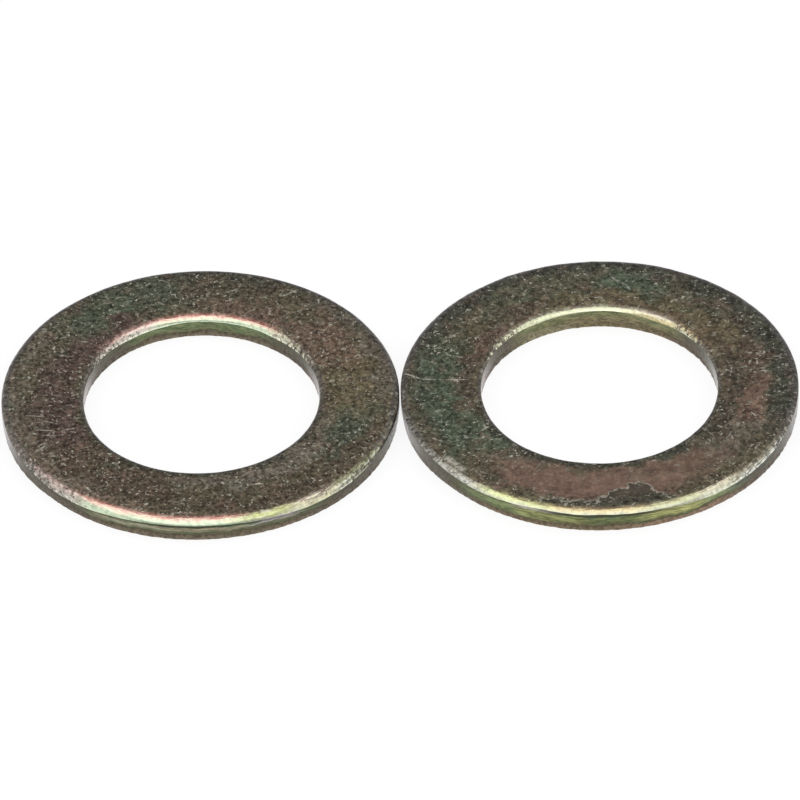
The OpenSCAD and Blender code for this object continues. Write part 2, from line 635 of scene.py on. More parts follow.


# %% [markdown]
# ## The flats
# Seen close, a plated flat is three things laid over each other. There are clouds a few
# millimetres wide, where the film ran thicker or thinner; the dark slate ones along the far rim
# and along the near edge of the bore are painted shade, where the edge turns away from the front.
# There is a fine speckle, the texture of the strip itself: dark pits and raised high spots about a
# fifth of a millimetre across, whose bright flecks are painted highlights. And there are marks of
# use: short scratches, and rubbed places. The largest clouds are placed one by one, because they
# give each washer its face, and their edges are bent by noise so that they don't look placed.

# %% Tints of the film on the flats, as linear reflection colours
OLIVE = (0.142, 0.124, 0.081, 1)
TEAL = (0.113, 0.139, 0.094, 1)
RUST = (0.230, 0.149, 0.115, 1)
BROWN = (0.130, 0.095, 0.068, 1)
PLUM = (0.126, 0.086, 0.072, 1)
SLATE = (0.086, 0.086, 0.066, 1)
ASH = (0.197, 0.170, 0.132, 1)
OCHRE = (0.183, 0.149, 0.091, 1)
# Painted shade of the dark line under the crease
CREASE_SHADE = (0.050, 0.055, 0.038, 1)
PALE = (0.620, 0.595, 0.500, 1)
# Grey of the shoulders, partly painted shade where they face away
SHOULDER_GREY = (0.155, 0.146, 0.148, 1)
# Tints of the painted sheen at the ends of the walls
LAVENDER = (0.800, 0.740, 0.800, 1)
BLUSH = (0.920, 0.750, 0.790, 1)
PEARL = (0.700, 0.680, 0.640, 1)
# Tint of the walls towards the sides
UMBER = (0.110, 0.092, 0.070, 1)

# Each cloud: tint, bearing and spread in degrees, distance from the axis and reach in mm, strength
# The SLATE clouds on the far side of the rim, at 15.0 to 15.1 mm, and along the near edge of the bore,
# at bearings near 0 and 9.85 to 9.9 mm, are painted shade where the edge turns away
CLOUDS = {
    "left": [
        (SLATE, -170, 34, 15.1, 0.9, 0.8), (TEAL, -150, 22, 12.9, 1.7, 0.9),
        (PLUM, -135, 16, 10.8, 0.9, 1.0), (ASH, -118, 10, 14.7, 0.8, 0.6),
        (PLUM, -97, 34, 11.4, 1.6, 0.9), (ASH, -68, 36, 14.9, 0.8, 0.7),
        (PLUM, -62, 28, 12.3, 1.6, 0.9), (BROWN, -33, 26, 12.1, 2.0, 0.9),
        (RUST, -44, 30, 14.9, 0.7, 0.3), (ASH, 30, 38, 11.2, 0.9, 1.0),
        (TEAL, 68, 16, 12.9, 1.6, 0.8), (OCHRE, 97, 20, 12.2, 2.1, 0.9),
        (RUST, 142, 34, 10.9, 1.2, 0.6), (RUST, 120, 14, 12.6, 1.2, 0.5),
        (SLATE, 143, 22, 15.1, 0.8, 0.6), (BROWN, 32, 36, 14.6, 0.9, 0.8),
        (ASH, 112, 26, 14.9, 0.8, 0.7), (PLUM, -76, 16, 10.8, 0.9, 1.0),
        (SLATE, 5, 60, 9.85, 0.5, 0.8), (SLATE, -175, 20, 12.9, 1.3, 0.35),
        (SLATE, 60, 12, 12.7, 1.0, 0.45),
    ],
    "right": [
        (SLATE, 180, 75, 15.0, 1.1, 1.0), (SLATE, 92, 28, 14.9, 1.1, 1.0),
        (TEAL, -80, 34, 13.0, 1.8, 1.0), (TEAL, -58, 22, 11.2, 1.0, 0.9),
        (OLIVE, -46, 9, 12.8, 1.4, 0.8), (BROWN, -112, 36, 10.9, 0.8, 0.9),
        (RUST, -5, 37, 12.9, 1.6, 1.0), (RUST, 22, 24, 11.4, 1.0, 0.7),
        (ASH, 57, 14, 12.7, 1.4, 0.8), (BROWN, 74, 18, 10.9, 1.0, 1.0),
        (RUST, 90, 24, 12.7, 1.0, 0.9), (BROWN, 108, 19, 12.4, 1.5, 0.9),
        (RUST, -28, 16, 11.3, 1.2, 0.6), (RUST, -122, 34, 10.5, 0.9, 0.3),
        (RUST, 128, 44, 10.6, 0.9, 0.35), (SLATE, 132, 18, 13.1, 1.2, 0.5),
        (OCHRE, 150, 34, 10.9, 0.9, 0.8), (TEAL, 167, 12, 13.0, 1.4, 1.0),
        (OCHRE, -172, 14, 10.9, 0.9, 0.7), (TEAL, -158, 20, 12.9, 1.4, 0.4),
        (SLATE, -5, 66, 9.9, 0.7, 0.9), (RUST, 40, 12, 12.9, 1.2, 0.5),
        (SLATE, 80, 34, 10.9, 0.9, 0.5), (SLATE, -98, 15, 10.8, 0.8, 0.4),
        (SLATE, -95, 24, 14.8, 0.8, 0.45), (OCHRE, 126, 17, 12.1, 0.6, 0.75),
    ],
}
print("clouds placed:", {side: len(rows) for side, rows in CLOUDS.items()})

# %% Paint the clouds
# The noise that bends the clouds, and by how many millimetres
SWIRL = {"Scale": 0.5, "Detail": 4.0, "Roughness": 0.6}
SWIRL_MM = 5.0
BROWNING = (0.30, 3.0, 0.6, 0.44, 0.64)
BROWN_SHARE = {"left": (0.15, 0.6), "right": (0.0, 0.4)}
MOTTLE = (0.9, 4.0, 0.65, 0.30, 0.70)
MOTTLE_LIGHT = (0.82, 1.44)
# Small clouds everywhere, the first kind as it is and the second bent as the large ones are: tint,
# noise and strength
SMALL_CLOUDS = [
    (RUST, (0.55, 4.0, 0.65, 0.50, 0.72), 0.5),
    (TEAL, (0.75, 4.0, 0.65, 0.52, 0.74), 0.6),
]


def clouds(tree, at, side):
    """The flat's colour before speckle."""
    swirl = add(tree, "ShaderNodeTexNoise", {"Vector": at["level"], **SWIRL})
    shift = lit(tree, vector(tree, "SUBTRACT", swirl.outputs["Color"], (0.5, 0.5, 0.5)), SWIRL_MM)
    bent = vector(tree, "ADD", at["level"], vector(tree, "MULTIPLY", shift, (1, 1, 0)))
    bearing = vector(tree, "NORMALIZE", bent)
    radius = vector(tree, "LENGTH", bent, output="Value")
    colour = paint(tree, drift(tree, bent, BROWNING, *BROWN_SHARE[side]), OLIVE, BROWN)
    for tint, azimuth, spread, middle, reach, strength in CLOUDS[side]:
        inside = patch(tree, bearing, radius, azimuth, spread, middle, reach)
        colour = paint(tree, times(tree, inside, strength), colour, tint)
    for where, (tint, kind, strength) in zip((at["level"], bent), SMALL_CLOUDS):
        colour = paint(tree, drift(tree, where, kind, 0.0, strength), colour, tint)
    return lit(tree, colour, drift(tree, at["level"], MOTTLE, *MOTTLE_LIGHT))


# %% [markdown]
# Speckle is made from two noises. One gives the general unevenness, and the other, cut off
# high, leaves only its peaks, which are painted as bright flecks: painted highlights. The same
# numbers drive the bump, so that a bright fleck is also a raised one.

# %% Speckle and flecks
# The noise of the pits and high spots, which part of it counts, and their brightness
PIT_GRAIN = (2.9, 3.0, 0.62)
PIT_RANGE = (0.30, 0.66)
UNEVENNESS = {"left": (0.34, 1.22), "right": (0.39, 1.21)}
# The noise of the flecks, and between which heights of it a fleck starts to show and is full
PEAK_GRAIN = (3.3, 2.0, 0.60, 0.4)
PEAKS = {"left": (0.595, 0.690), "right": (0.600, 0.705)}
# Flecks come in crowds: their noise, and how many there are between the crowds
CROWDS = (0.6, 3.0, 0.6, 0.38, 0.62)
UNCROWDED = 0.35
# How much of the bump's height comes from either
PIT_HEIGHT = 0.8
FLECK_HEIGHT = 0.6


def speckle(tree, at, side):
    """Fine texture's brightness around 1, the painted highlight flecks, and the height."""
    fine = grain(tree, at["point"], *PIT_GRAIN)
    unevenness = rise(tree, fine, *PIT_RANGE, *UNEVENNESS[side])
    peaks = rise(tree, grain(tree, at["point"], *PEAK_GRAIN), *PEAKS[side])
    glint_flecks = times(tree, peaks, drift(tree, at["point"], CROWDS, UNCROWDED, 1.0))
    height = calc(tree, "ADD", times(tree, fine, PIT_HEIGHT), times(tree, glint_flecks, FLECK_HEIGHT))
    return unevenness, glint_flecks, height


# %% [markdown]
# Hairline scratches are contour lines. Where a noise passes through one level there is a thin
# curve, and a second noise breaks the curve into short pieces that run every way. Only a few marks
# on the real washers are plain enough to be placed one by one: each is a straight line between two
# points, roughened along its length.

# %% Scratches
# Each kind of hairline: curves to a millimetre, half their width, how much is whole film, strength
HAIRS = [(0.8, 0.030, 0.57, 0.6), (1.7, 0.045, 0.56, 0.5)]
# The noise that breaks them up has this many times as many features, and is this sharp
BREAK_UP = 1.9
BREAK_SHARP = 0.06
# How much of a scratch's half width is at full strength
CORE = 0.3


def hairs(tree, at, per_mm, width, whole):
    """Short thin curves that run every way: 0 on whole film, 1 in a scratch."""
    level = gap_between(tree, grain(tree, at["point"], per_mm, 0.0), 0.5)
    broken = drift(tree, at["point"], (per_mm * BREAK_UP, 2.0, 0.6, whole, whole + BREAK_SHARP))
    return times(tree, rise(tree, level, width, width * CORE), broken)


def scratch(tree, at, start, end, width):
    """One straight scratch between two points of the flat."""
    run = Vector(end) - Vector(start)
    slope = run.angle_signed(Vector((1, 0)))
    laid = {"Vector": at["level"], "Location": (*start, 0), "Rotation": (0, 0, slope)}
    along_it = add(tree, "ShaderNodeMapping", laid, vector_type="TEXTURE").outputs[0]
    apart = add(tree, "ShaderNodeSeparateXYZ", {0: along_it})
    ends = gap_between(tree, apart.outputs[0], run.length / 2)
    sideways = calc(tree, "ABSOLUTE", apart.outputs[1])
    length_share = rise(tree, ends, run.length / 2 + 0.1, run.length / 2 - 0.3)
    return times(tree, length_share, rise(tree, sideways, width, width * CORE))


# %% Place the marks
# Each mark: start and end from the washer's axis, and half its width, in mm
MARKS = {
    "left": [
        ((6.55, 12.0), (7.95, 12.85), 0.13), ((-13.2, -6.75), (-12.2, -5.95), 0.13),
        ((-13.9, -2.2), (-12.4, -2.4), 0.08), ((-13.2, -4.0), (-11.6, -4.2), 0.08),
        ((-13.0, -6.1), (-12.3, -5.6), 0.09), ((-12.6, -2.9), (-11.2, -3.4), 0.07),
        ((2.0, 12.6), (3.1, 13.1), 0.07), ((-9.6, 7.0), (-8.9, 6.8), 0.10),
        ((-13.5, -4.5), (-12.9, -4.55), 0.11), ((-12.5, -4.7), (-11.8, -4.75), 0.10),
        ((-11.0, -4.1), (-9.9, -3.95), 0.10), ((-12.1, -7.3), (-11.4, -7.35), 0.11),
    ],
    "right": [
        ((-15.6, 2.1), (-14.2, 1.2), 0.13), ((-14.2, 1.2), (-12.9, 1.1), 0.14),
        ((-12.9, 1.1), (-10.4, 1.0), 0.07), ((13.9, 3.1), (14.6, 3.05), 0.12),
        ((12.8, 1.3), (13.6, 1.25), 0.10), ((1.2, 13.6), (1.9, 12.9), 0.14),
        ((-12.9, -9.2), (-12.4, -8.1), 0.10), ((-12.3, -9.6), (-11.8, -8.6), 0.10),
        ((-11.8, -10.2), (-11.3, -9.3), 0.10), ((-12.5, -8.5), (-10.9, -10.3), 0.42),
    ],
}
WEAR = (4.0, 2.0, 0.6, 0.36, 0.56)
# What is left of a mark where it is most worn
MARK_WEAR = 0.25


def scratches(tree, at, side):
    """All scratches of a washer together."""
    kinds = [times(tree, hairs(tree, at, *kind), strength) for *kind, strength in HAIRS]
    together = calc(tree, "MAXIMUM", *kinds)
    worn = drift(tree, at["level"], WEAR, MARK_WEAR, 1.0)
    for start, end, width in MARKS[side]:
        mark = times(tree, scratch(tree, at, start, end, width), worn)
        together = calc(tree, "MAXIMUM", together, mark)
    return together


print("marks placed:", {side: len(rows) for side, rows in MARKS.items()})

# %% [markdown]
# The right washer has one large stain at its near rim: a dark wedge with a pale, ragged outline,
# where the film flaked or something stuck to it in the bath. Next to it the film is rubbed smooth.
# The wedge is a triangle in disguise. How far below its point a spot lies, less a share of how far
# to the side, is positive inside. One side is steep and the other flat, and noise bends the number.

# %% The stain on the right washer
STAIN_BEARING = radians(11.5)
# How far its point lies to the side of that bearing and from the axis, in mm
STAIN_POINT = (0.32, 12.30)
STEEP_SIDE = 1.45
FLAT_SIDE = -0.43
# A strip along the rim is dark too, from this far out, and only near its own bearing
STRIP_EDGE = 14.55
STRIP_PATCH = (-3, 17, STRIP_EDGE + 0.8, 3.0)
STRIP_ENDS = 1.5
RAGGED = (1.3, 4.0, 0.6, 0.2, 0.8)
RAGGED_MM = 0.60
# Where the inside starts, and the outline's outer and inner side, in mm from the stain's edge
STAIN_INSIDE = (-0.04, 0.10)
OUTLINE_OUTER = (-0.20, -0.05)
OUTLINE_INNER = (0.14, 0.0)


def stain(tree, at):
    """1 inside the stain, and 1 on its pale outline."""
    outward = (sin(STAIN_BEARING), -cos(STAIN_BEARING), 0)
    sideways = (cos(STAIN_BEARING), sin(STAIN_BEARING), 0)
    aside, below = STAIN_POINT
    depth = calc(tree, "SUBTRACT", vector(tree, "DOT_PRODUCT", at["level"], outward, "Value"), below)
    side = calc(tree, "SUBTRACT", vector(tree, "DOT_PRODUCT", at["level"], sideways, "Value"), aside)
    sides = [times(tree, side, slope) for slope in (STEEP_SIDE, FLAT_SIDE)]
    wedge = calc(tree, "SUBTRACT", depth, calc(tree, "MAXIMUM", *sides))
    strip = calc(tree, "SUBTRACT", at["radius"], STRIP_EDGE)
    near_strip = patch(tree, at["bearing"], at["radius"], *STRIP_PATCH)
    strip = calc(tree, "SUBTRACT", strip, rise(tree, near_strip, 1.0, 0.0, 0.0, STRIP_ENDS))
    bend = drift(tree, at["level"], RAGGED, -RAGGED_MM, RAGGED_MM)
    inside = calc(tree, "ADD", calc(tree, "MAXIMUM", wedge, strip), bend)
    outline = times(tree, rise(tree, inside, *OUTLINE_OUTER), rise(tree, inside, *OUTLINE_INNER))
    return rise(tree, inside, *STAIN_INSIDE), outline


# %% [markdown]
# Now the flat's layers go over each other: first the clouds, then the stain, then the speckle's
# light and its flecks. The marks are kept apart, because they cross the shoulder as well. On the
# right washer one place is rubbed, so that all of this is weaker there.

# %% The layers of the flat
MARK_STRENGTH = 0.8
# The rubbed place: bearing and spread in degrees, distance from the axis and reach in mm
RUBBED = (5, 40, 12.2, 1.9)
RUBBED_SHARE = 0.70
RUBBED_LIGHT = 1.05
# What rubbing leaves of the flecks and of the marks
FLECKS_LEFT = 0.22
MARKS_LEFT = 0.45
STAIN_STRENGTH = 0.75
OUTLINE_STRENGTH = 0.6


def flat_film(tree, at, side):
    """Sockets for the flat: its colour, its marks, and the speckle's evenness, light and height."""
    evenness, glint_flecks, height = speckle(tree, at, side)
    light = evenness
    marks = times(tree, scratches(tree, at, side), MARK_STRENGTH)
    colour = clouds(tree, at, side)
    if side == "right":
        rubbed = patch(tree, at["bearing"], at["radius"], *RUBBED)
        light = between(tree, times(tree, rubbed, RUBBED_SHARE), light, RUBBED_LIGHT)
        glint_flecks = times(tree, glint_flecks, rise(tree, rubbed, 0.0, 1.0, 1.0, FLECKS_LEFT))
        marks = times(tree, marks, rise(tree, rubbed, 0.0, 1.0, 1.0, MARKS_LEFT))
        inside, outline = stain(tree, at)
        colour = paint(tree, times(tree, inside, STAIN_STRENGTH), colour, SLATE)
        colour = paint(tree, times(tree, outline, OUTLINE_STRENGTH), colour, PALE)
    # Painted highlights: the bright flecks on the raised spots of the speckle
    colour = paint(tree, glint_flecks, lit(tree, colour, light), PALE)
    return {"colour": colour, "marks": marks, "evenness": evenness, "light": light, "height": height}


# %% [markdown]
# ## The edge
# Each zone of the edge has its own look. The shoulder is the brightest, with its bands of film
# colour, but these are a painted highlight, shown only on the near side of the rim and the far
# side of the bore, where the shoulder faces the front. Elsewhere it is dull. Under the crease runs
# a dark line of painted shade. The land is burnished by the die, with fine streaks that run round
# the washer, and the broken zone is dull and grainy. The streaks come from noise that reads the
# bearing and the zone: it changes slowly on the way round and fast across.

# %% Films of the rolled shoulder
# These bright films show only where the shoulder faces the front, as a painted highlight, and their
# near-white stops by the crease, as in SILVER_FILM and SAGE_FILM, paint its brightest line
# Each stop: how far down from the flat to the crease, in hundredths, and red, green and blue there
ROSE_FILM = [
    (0, 400, 190, 155), (10, 600, 310, 260), (26, 700, 500, 410), (44, 710, 650, 495),
    (65, 630, 705, 520), (95, 610, 735, 525),
]
DUSK_FILM = [
    (0, 360, 220, 190), (20, 600, 420, 370), (45, 690, 570, 510), (70, 630, 590, 510),
    (95, 650, 650, 540),
]
HAZE_FILM = [
    (0, 250, 155, 135), (20, 430, 305, 270), (45, 620, 510, 455), (66, 430, 385, 335),
    (82, 540, 510, 450), (98, 800, 760, 680),
]
MINT_FILM = [
    (0, 280, 240, 180), (14, 430, 420, 310), (36, 620, 650, 440), (60, 660, 690, 470),
    (95, 640, 640, 460),
]
LIME_FILM = [
    (0, 230, 190, 125), (14, 440, 410, 210), (36, 600, 640, 310), (58, 610, 650, 360),
    (80, 600, 630, 420), (95, 590, 590, 440),
]
CITRUS_FILM = [
    (0, 140, 115, 85), (16, 260, 235, 140), (36, 430, 450, 225), (58, 510, 545, 250),
    (74, 510, 530, 280), (88, 700, 700, 500), (98, 550, 545, 440),
]
AMBER_FILM = [
    (0, 240, 180, 110), (14, 420, 320, 185), (34, 640, 530, 305), (55, 690, 610, 370),
    (78, 640, 610, 425), (95, 560, 560, 430),
]
GOLD_FILM = [
    (0, 320, 250, 210), (22, 600, 540, 430), (45, 700, 650, 450), (75, 670, 590, 350),
    (95, 600, 490, 270),
]
CREAM_FILM = [
    (0, 210, 170, 125), (18, 340, 290, 215), (38, 660, 625, 470), (60, 530, 510, 375),
    (80, 740, 735, 560), (95, 770, 785, 620),
]
MELON_FILM = [
    (6, 150, 112, 92), (22, 190, 147, 122), (34, 260, 210, 172), (44, 380, 335, 270),
    (56, 700, 665, 490), (72, 650, 605, 395), (85, 880, 820, 590), (97, 660, 680, 500),
]
PEARL_FILM = [
    (0, 230, 200, 130), (14, 330, 305, 190), (36, 500, 500, 300), (60, 560, 580, 395),
    (80, 490, 490, 390), (95, 400, 390, 300),
]
FROST_FILM = [
    (0, 240, 205, 165), (18, 380, 360, 300), (40, 460, 445, 385), (62, 480, 475, 415),
    (95, 560, 560, 500),
]
SILVER_FILM = [
    (0, 150, 130, 92), (22, 220, 185, 132), (42, 330, 290, 205), (58, 310, 290, 220),
    (71, 340, 335, 265), (82, 800, 810, 735), (98, 940, 960, 890),
]
SAGE_FILM = [
    (0, 150, 140, 85), (22, 220, 218, 125), (48, 380, 390, 235), (66, 440, 455, 285),
    (79, 800, 810, 680), (92, 740, 750, 630), (100, 450, 450, 360),
]
# Each film with the bearings between which it takes over from the one before
RIM_FILMS = {
    "left": [
        (HAZE_FILM, None), (ROSE_FILM, (-43, -32)), (CITRUS_FILM, (5, 17)),
        (MELON_FILM, (23, 31)), (SAGE_FILM, (39, 47)),
    ],
    "right": [
        (FROST_FILM, None), (LIME_FILM, (-44, -33)), (AMBER_FILM, (-21, -12)),
        (PEARL_FILM, (7, 16)), (CREAM_FILM, (26, 33)), (SILVER_FILM, (38, 47)),
    ],
}
BORE_FILMS = {
    "left": [(DUSK_FILM, None), (ROSE_FILM, (-28, -16)), (CREAM_FILM, (30, 44))],
    "right": [(MINT_FILM, None), (GOLD_FILM, (8, 26)), (AMBER_FILM, (34, 46))],
}

print("films:", len(RIM_FILMS["left"]), "and", len(RIM_FILMS["right"]), "round the rims")

# %% Where the shoulder's film begins
# From how far before the shoulder's edge it comes in to how far past it, in mm
FILM_EDGE = (-0.42, 0.02)
# How much later it begins at the rim in front and to either side of that, in mm, and the
# bearings between which it changes
LATE_FILM = (0.05, 0.26)
LATE_SIDES = [(8, 34), (-30, -48)]


def sideways_share(tree, at, start, end):
    """0 left of one bearing and 1 right of another, on the side that shows. Bearings in degrees."""
    return rise(tree, at["rightward"], sin(radians(start)), sin(radians(end)))


def run_in_share(tree, at, size):
    """0 on the flat, and 1 on the shoulder and the strip of flat that sinks towards it."""
    rim_width, bore_width = (SHOULDERS[size["side"]][edge][0] for edge in ("rim", "bore"))
    at_rim = calc(tree, "SUBTRACT", at["radius"], size["rim"] - rim_width)
    at_bore = calc(tree, "SUBTRACT", size["bore"] + bore_width, at["radius"])
    late = calc(tree, "ADD", *(sideways_share(tree, at, *bearings) for bearings in LATE_SIDES))
    late = times(tree, rise(tree, late, 0.0, 1.0, *LATE_FILM), at["at_rim"])
    past_edge = calc(tree, "MAXIMUM", at_rim, at_bore)
    return rise(tree, calc(tree, "SUBTRACT", past_edge, late), *FILM_EDGE)


# %% Streaks that run round the washer
# How fast the noise changes on the way round and from zone to zone
LONG_STREAKS = (9.0, 6.0)
SHORT_STREAKS = (26.0, 11.0)
STREAK_GRAIN = (1.0, 3.0, 0.6)
STREAK_RANGE = (0.39, 0.61)


def run_round(tree, at, fast_round, fast_across):
    """Noise of 0 to 1 that is slow along the edge and fast across it."""
    height = calc(tree, "ADD", times(tree, at["zone"], fast_across), at["seed"])
    across = add(tree, "ShaderNodeCombineXYZ", {2: height}).outputs[0]
    place = vector(tree, "ADD", lit(tree, at["bearing"], fast_round), across)
    return grain(tree, place, *STREAK_GRAIN)


def die_streaks(tree, at):
    """The die's streaks: long and short ones together, with their contrast raised."""
    both = between(tree, 0.5, run_round(tree, at, *LONG_STREAKS), run_round(tree, at, *SHORT_STREAKS))
    return rise(tree, both, *STREAK_RANGE)


def sway(tree, streaks, by):
    """How far the streaks push a band of film up or down."""
    return rise(tree, streaks, 0.25, 0.75, -by, by)


# %% Paint the shoulder
# How far the streaks move the film's bands, as a share of the shoulder
STREAK_SHIFT = 0.16
# A change with four numbers goes from where to where, and from which value to which. In the bore
# the film gets lighter towards the crease, by the zone
BORE_LIFT = (0.60, 0.85, 1.0, 1.4)
# Light of the film in the pits, by the nearness: painted shade that darkens it as the edge turns
# from the front. And on the high spots of the speckle, a small painted highlight
PIT_LIGHT = (0.95, 0.65, 0.86, 0.60)
PEAK_LIGHT = 1.08
HIGH_SPOTS = (0.45, 1.1)
# At which nearness the film comes in and is full, and by how much its end is ragged. The film
# is a painted highlight that shows only where the edge faces the front
FILM_END = (0.38, 0.66)
END_NOISE = (3.0, 4.0, 0.7, 0.3, 0.7)
END_RAGGED = 0.30
# How much sooner it ends, as a share of the nearness: in the bore, and at the rim's left end
BORE_STOPS_SHORT = 0.10
RIM_STOPS_SHORT = {"left": 0.10, "right": 0.0}
LEFT_END = (-25, -45)


def shoulder(tree, at, side, streaks, evenness):
    """The rolled shoulder's film, how much of it shows as a painted highlight, and the nearness.

    The nearness is 1 where an edge faces the front, 0 beside, and negative where it faces away.
    """
    depth = calc(tree, "ADD", at["zone"], sway(tree, streaks, STREAK_SHIFT))
    edges = []
    for films in (BORE_FILMS[side], RIM_FILMS[side]):
        colour = film(tree, depth, films[0][0])
        for stops, (start, end) in films[1:]:
            colour = paint(tree, sideways_share(tree, at, start, end), colour, film(tree, depth, stops))
        edges.append(colour)
    edges[0] = lit(tree, edges[0], rise(tree, at["zone"], *BORE_LIFT))
    nearness = times(tree, at["away"], between(tree, at["at_rim"], 1.0, -1.0))
    # Painted shade: the film darker in the pits and as the edge turns from the front
    pit_and_side_shade = rise(tree, nearness, *PIT_LIGHT)
    light = between(tree, rise(tree, evenness, *HIGH_SPOTS), pit_and_side_shade, PEAK_LIGHT)
    colour = lit(tree, paint(tree, at["at_rim"], *edges), light)
    ragged = drift(tree, at["point"], END_NOISE, -END_RAGGED, END_RAGGED)
    rim_short = between(tree, sideways_share(tree, at, *LEFT_END), 0.0, RIM_STOPS_SHORT[side])
    short = between(tree, at["at_rim"], BORE_STOPS_SHORT, rim_short)
    reach = calc(tree, "SUBTRACT", nearness, short)
    # Painted highlight: the bright film shows only where the edge faces the front
    shows = rise(tree, calc(tree, "ADD", reach, ragged), *FILM_END)
    return colour, shows, nearness


# %% Films and tints of the walls
LAND_FILMS = {
    "left": {
        "bore": [(0, 170, 205, 105), (50, 175, 200, 100), (100, 150, 142, 86)],
        "rim": [(12, 120, 108, 66), (50, 190, 178, 112), (75, 150, 137, 86), (100, 100, 92, 58)],
    },
    "right": {
        "bore": [(0, 220, 235, 125), (50, 185, 187, 93), (100, 190, 168, 98)],
        "rim": [(10, 160, 170, 85), (50, 170, 190, 80), (100, 130, 125, 62)],
    },
}
GREEN_STREAK = (0.100, 0.150, 0.080, 1)
# Brighter lengths of wall, some painted highlights where the land catches the light, others
# patches of greener, violet or browner film: bearing and spread in degrees, zone and reach, tint,
# strength
GLINTS_AND_PATCHES = {
    "left": [
        (18, 11, 1.30, 0.30, (0.310, 0.310, 0.255, 1), 0.8),
        (-22, 12, 1.55, 0.32, (0.310, 0.300, 0.210, 1), 0.7),
        (1, 12, 1.48, 0.24, (0.310, 0.272, 0.185, 1), 0.8),
        (11, 5, 1.14, 0.20, (0.110, 0.210, 0.110, 1), 0.8),
        (23, 6, 1.16, 0.20, (0.270, 0.230, 0.280, 1), 0.7),
        (37, 8, 1.25, 0.30, (0.150, 0.210, 0.120, 1), 0.7),
    ],
    "right": [
        (-32, 12, 1.45, 0.60, (0.195, 0.235, 0.115, 1), 0.8),
        (-17, 9, 1.45, 0.60, (0.250, 0.260, 0.110, 1), 0.8),
        (24, 13, 1.38, 0.42, (0.370, 0.370, 0.155, 1), 0.9),
        (39, 9, 1.38, 0.42, (0.200, 0.255, 0.150, 1), 0.7),
        (40, 32, 2.75, 0.50, (0.280, 0.195, 0.142, 1), 0.9),
        (-152, 18, 2.50, 0.60, (0.270, 0.248, 0.158, 1), 0.8),
        (175, 20, 2.20, 0.80, (0.205, 0.172, 0.102, 1), 0.8),
        (50, 10, 1.30, 0.40, (0.130, 0.160, 0.115, 1), 0.8),
        (-20, 7, 1.10, 0.16, (0.420, 0.380, 0.360, 1), 0.7),
    ],
}
BROKEN_FILMS = {
    "left": [(0, 110, 98, 62), (35, 135, 114, 78), (100, 220, 180, 135)],
    "right": [(0, 120, 105, 60), (35, 155, 125, 80), (100, 240, 180, 125)],
}

# %% Paint the walls
# How soft the borders between the zones are
LINE_BLUR = 0.01
BREAK_BLUR = 0.04
# How far the streaks move the land's bands, as a share of the land
LAND_SHIFT = 0.22
# The green streaks: how fast they change, how much green they give, and how much of it is in the bore
GREEN_STREAKS = (14.0, 4.0)
GREEN_SHARE = (0.46, 0.60, 0.0, 0.7)
BORE_GREEN = {"left": 1.0, "right": 0.45}
BROKEN_GRAIN = (3.5, 3.0, 0.6)
# Light of the land's streaks, of the broken zone's grain, and of the dull film from top to foot
STREAK_LIGHT = (0.0, 1.0, 0.64, 1.42)
GRAIN_LIGHT = (0.35, 0.65, 0.70, 1.30)
DULL_LIGHT = (1.1, 2.7, 0.76, 1.15)
# How far round to the side a wall goes dull: the cosines of two bearings
DULL_WALL = {"left": (0.90, 0.72), "right": (0.85, 0.62)}
DULL_STRENGTH = 0.85


def walls(tree, at, side, streaks, nearness):
    """Colour of the land and the broken zone, where the broken zone is, and its grain."""
    down_land = calc(tree, "SUBTRACT", at["zone"], CREASE)
    down_break = calc(tree, "SUBTRACT", at["zone"], LAND_END)
    streaky = calc(tree, "ADD", down_land, sway(tree, streaks, LAND_SHIFT))
    lands = [film(tree, streaky, LAND_FILMS[side][edge]) for edge in ("bore", "rim")]
    land = paint(tree, at["at_rim"], *lands)
    green = rise(tree, run_round(tree, at, *GREEN_STREAKS), *GREEN_SHARE)
    green = times(tree, green, between(tree, at["at_rim"], BORE_GREEN[side], 1.0))
    land = paint(tree, green, land, GREEN_STREAK)
    rough = grain(tree, at["point"], *BROKEN_GRAIN)
    on_broken = past(tree, at["zone"], LAND_END, BREAK_BLUR)
    wall = paint(tree, on_broken, land, film(tree, down_break, BROKEN_FILMS[side]))
    # Painted highlights and patches of film colour on the wall
    for azimuth, spread, middle, reach, tint, strength in GLINTS_AND_PATCHES[side]:
        glint_or_patch = patch(tree, at["bearing"], at["zone"], azimuth, spread, middle, reach)
        wall = paint(tree, times(tree, glint_or_patch, strength), wall, tint)
    grainy = rise(tree, rough, *GRAIN_LIGHT)
    streaked = rise(tree, streaks, *STREAK_LIGHT)
    wall = lit(tree, wall, between(tree, on_broken, streaked, grainy))
    dull_light = times(tree, grainy, rise(tree, at["zone"], *DULL_LIGHT))
    dull = times(tree, rise(tree, nearness, *DULL_WALL[side]), DULL_STRENGTH)
    return paint(tree, dull, wall, lit(tree, UMBER[:3], dull_light)), on_broken, rough


# %% [markdown]
# Towards the washer's left and right ends the walls are painted paler, faintly lavender or pink,
# in uneven patches. This is a painted sheen: the reflection of the white floor that the walls show
# as they turn to a grazing angle. It is painted in its place, by the bearing, and it fades in
# slowly and never covers. The gloss of these ends comes from the metal, which is smoother from
# there on. A colour mixed in by the viewing angle would look right in one picture only, and would
# be lost when the model is exported.

# %% Painted sheen at the ends of the walls
# The cosines of the bearings between which it fades in, and again out on the side that is hidden
SHEEN_IN = (0.52, 0.14)
SHEEN_OUT = (-0.50, 0.05)
SHEEN_NOISE = (1.5, 4.0, 0.65, 0.30, 0.66)
SHEEN_STRENGTH = 0.42
# What is left of it where it is weakest
SHEEN_THIN = 0.3
# In the bore it gets stronger from the crease down, by the zone
SHEEN_BORE = (1.0, 1.9, 0.35, 1.0)
